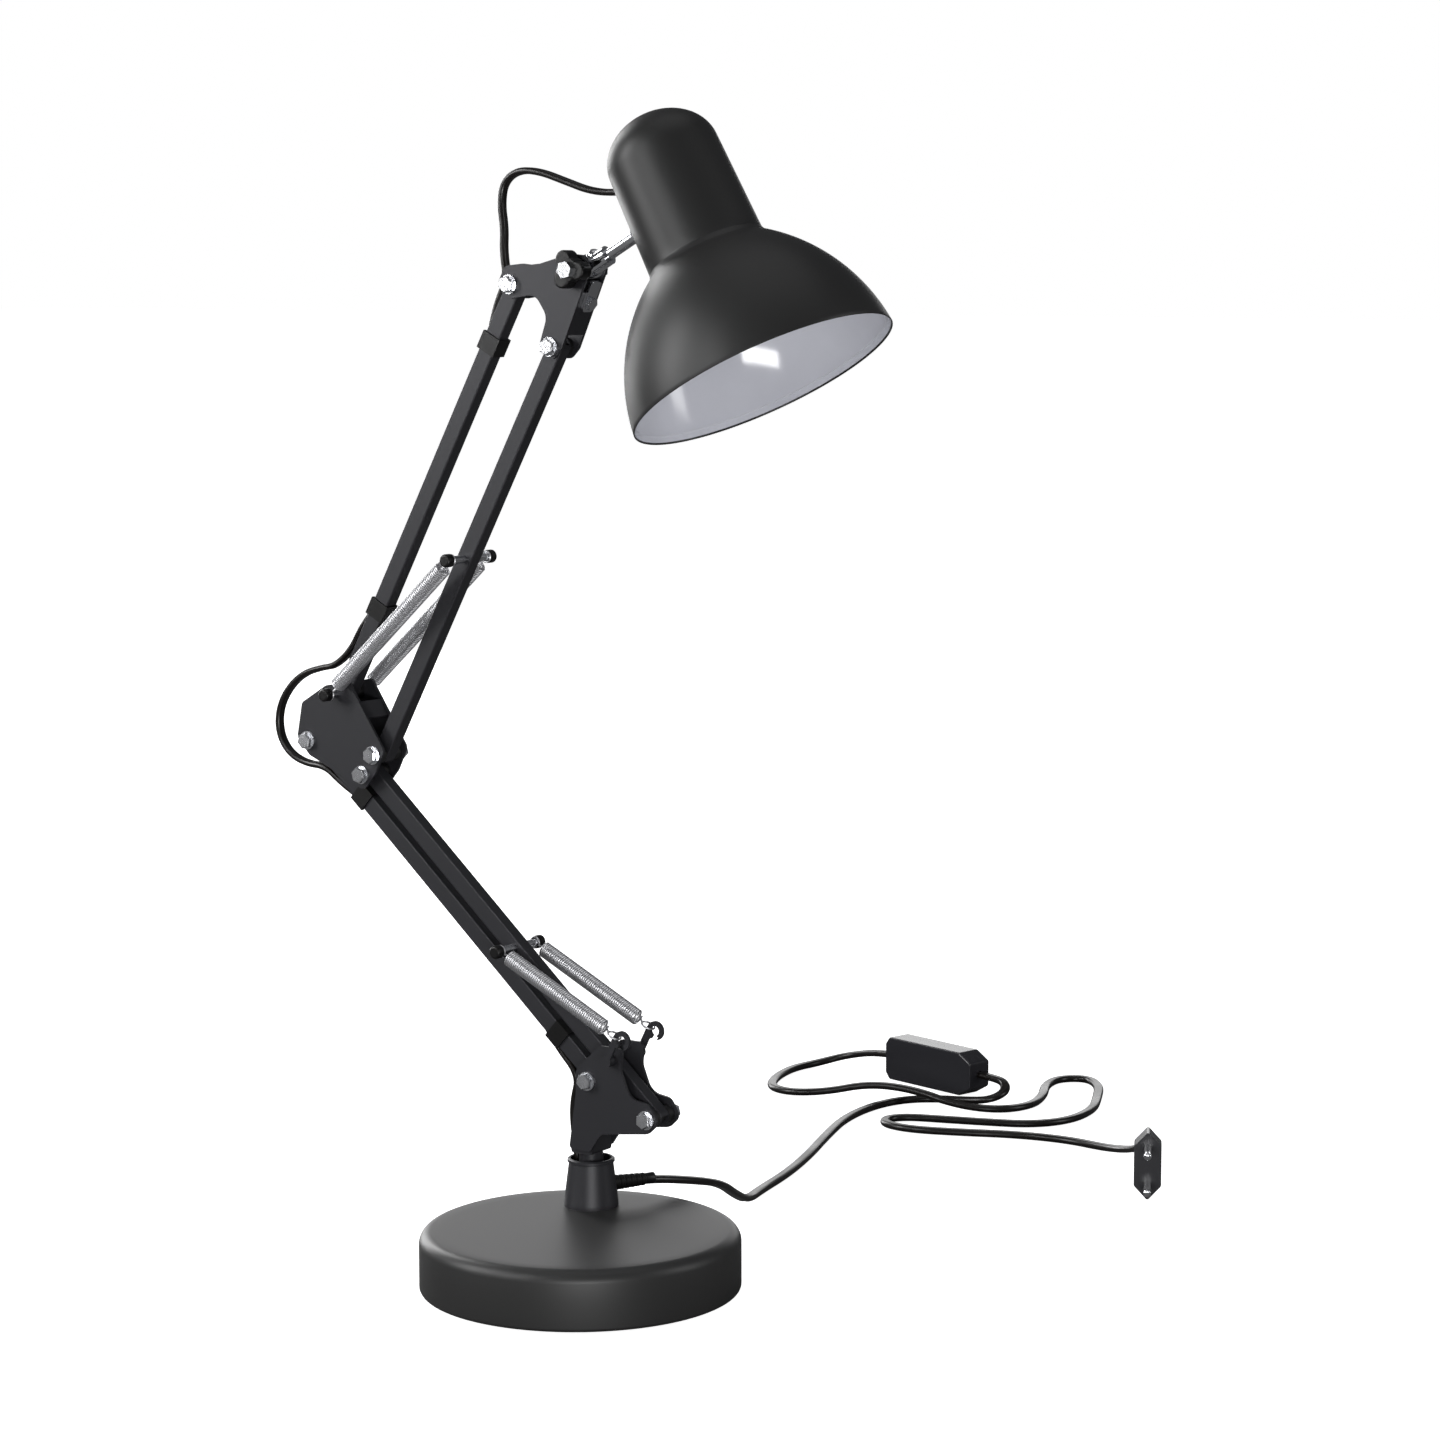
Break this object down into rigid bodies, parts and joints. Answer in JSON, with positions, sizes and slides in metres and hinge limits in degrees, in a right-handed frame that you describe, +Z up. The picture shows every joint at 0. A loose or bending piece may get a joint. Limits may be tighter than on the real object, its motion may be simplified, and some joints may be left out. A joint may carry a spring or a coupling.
{
  "type": "swing arm desk lamp",
  "caption": "Desk lamp with a round weighted base, sprung parallel-bar arms, an elbow bracket, a tilting bell shade on a side rod, and a mains lead with inline switch and plug.",
  "frame": {"origin": "centre of the round base's underside, on the table", "axes": "+Z up; the arms swing in a plane of constant Y through the post, leaning back towards -X; the shade faces +X and down"},
  "size_m": [0.3681, 0.5853, 0.5435],
  "materials": {
    "base_paint": "fine-textured matt black paint",
    "arm_paint": "satin black powder coat",
    "shade_paint": "satin black enamel outside, bluish white enamel inside",
    "zinc": "bright zinc plate",
    "bright": "bright chrome plate",
    "spring_wire": "nickel plated spring wire",
    "black_plastic": "moulded, fine satin",
    "gloss_plastic": "moulded, glossy",
    "lead_pvc": "glossy black-brown cable sheath",
    "pad_rubber": "soft sheet",
    "iron": "as cast",
    "nylon": "natural nylon",
    "steel": "bare steel",
    "holder_plastic": "white heat-resistant moulding",
    "brass": "plated brass"
  },
  "bodies": {
    "base": {"foot_pad": "pad_rubber", "bottom_plate": "steel", "base_screws": "zinc", "base_weight": "iron", "base_shell": "base_paint", "swivel_socket": "steel", "collar": "arm_paint", "cord_grommet": "black_plastic", "lead_to_switch": "lead_pvc", "switch_cover": "gloss_plastic", "switch_case": "gloss_plastic", "lead_to_plug": "lead_pvc", "plug_body": "gloss_plastic", "plug_pins": "bright"},
    "rocker": {"switch_rocker": "gloss_plastic"},
    "swivel": {"stem": "arm_paint", "lower_bracket": "arm_paint", "spring_hooks": "arm_paint", "lower_bolts": "zinc", "lower_nuts": "zinc", "lead_base_run": "lead_pvc", "lower_springs": "spring_wire"},
    "lower_rear": {"lower_rear_bar": "arm_paint", "lower_rear_bushes": "nylon", "lower_rear_sleeves": "black_plastic", "lower_rear_lead": "lead_pvc"},
    "lower_front": {"lower_front_bar": "arm_paint", "lower_front_bushes": "nylon", "lower_cross_pin": "zinc", "lower_pin_caps": "black_plastic"},
    "elbow": {"elbow_bracket": "arm_paint", "elbow_bolts": "zinc", "elbow_nuts": "zinc", "elbow_cross_pin": "zinc", "elbow_pin_caps": "black_plastic", "lead_elbow_loop": "lead_pvc", "upper_springs": "spring_wire"},
    "upper_rear": {"upper_rear_bar": "arm_paint", "upper_rear_bushes": "nylon", "upper_rear_sleeves": "black_plastic", "upper_rear_lead": "lead_pvc"},
    "upper_front": {"upper_front_bar": "arm_paint", "upper_front_bushes": "nylon", "upper_cross_pin": "zinc", "upper_pin_caps": "black_plastic"},
    "head": {"head_bracket": "arm_paint", "head_bolts": "zinc", "head_nuts": "zinc", "clamp_plate": "bright", "clamp_screw": "zinc", "tilt_bolt": "zinc", "tilt_knob": "black_plastic"},
    "knuckle": {"tilt_knuckle": "bright", "lead_head_loop": "lead_pvc"},
    "shade": {"shade_rod": "bright", "shade_fixings": "zinc", "shade_shell": "shade_paint", "holder_bracket": "steel", "lampholder": "holder_plastic", "lampholder_thread": "brass"}
  },
  "joints": [
    {"name": "base_swivel", "type": "hinge", "parent": "base", "child": "swivel", "pos_m": [-0.0207, 0.0371, 0.03], "axis": [0, 0, 1], "range_deg": [-150, 150]},
    {"name": "lower_arm", "type": "hinge", "parent": "swivel", "child": "lower_rear", "pos_m": [-0.0161, 0.0371, 0.0911], "axis": [0, 1, 0], "range_deg": [-2.5, 70], "deforming": ["lead_base_run"]},
    {"name": "lower_link", "type": "hinge", "parent": "swivel", "child": "lower_front", "pos_m": [0.01798, 0.0371, 0.0767], "axis": [0, 1, 0], "range_deg": [-2.5, 70], "deforming": ["lower_springs"]},
    {"name": "elbow_level", "type": "hinge", "parent": "lower_rear", "child": "elbow", "pos_m": [-0.18536, 0.0371, 0.24085], "axis": [0, 1, 0], "range_deg": [-70, 2.5], "deforming": ["lead_elbow_loop"]},
    {"name": "upper_arm", "type": "hinge", "parent": "elbow", "child": "upper_rear", "pos_m": [-0.16746, 0.0371, 0.26515], "axis": [0, 1, 0], "range_deg": [-26, 56], "deforming": ["lead_elbow_loop"]},
    {"name": "upper_link", "type": "hinge", "parent": "elbow", "child": "upper_front", "pos_m": [-0.14413, 0.0371, 0.23644], "axis": [0, 1, 0], "range_deg": [-26, 56], "deforming": ["upper_springs"]},
    {"name": "head_level", "type": "hinge", "parent": "upper_rear", "child": "head", "pos_m": [-0.06032, 0.0371, 0.46414], "axis": [0, 1, 0], "range_deg": [-56, 26], "deforming": ["lead_head_loop"]},
    {"name": "head_tilt", "type": "hinge", "parent": "head", "child": "knuckle", "pos_m": [-0.02072, 0.0371, 0.47084], "axis": [0, 1, 0], "range_deg": [-60, 30], "deforming": ["lead_head_loop"]},
    {"name": "shade_swivel", "type": "hinge", "parent": "knuckle", "child": "shade", "pos_m": [-0.02072, 0.0371, 0.47084], "axis": [0.8771, 0, 0.4802], "range_deg": [-90, 90], "deforming": ["lead_head_loop"]},
    {"name": "switch_rocker", "type": "hinge", "parent": "base", "child": "rocker", "pos_m": [-0.07288, 0.45929, 0.0125], "axis": [0, 0, 1], "range_deg": [0, 12]}
  ],
  "couplings": [
    {"joint": "lower_link", "follows": "lower_arm", "ratio": 1},
    {"joint": "elbow_level", "follows": "lower_arm", "ratio": -1},
    {"joint": "upper_link", "follows": "upper_arm", "ratio": 1},
    {"joint": "head_level", "follows": "upper_arm", "ratio": -1}
  ]
}
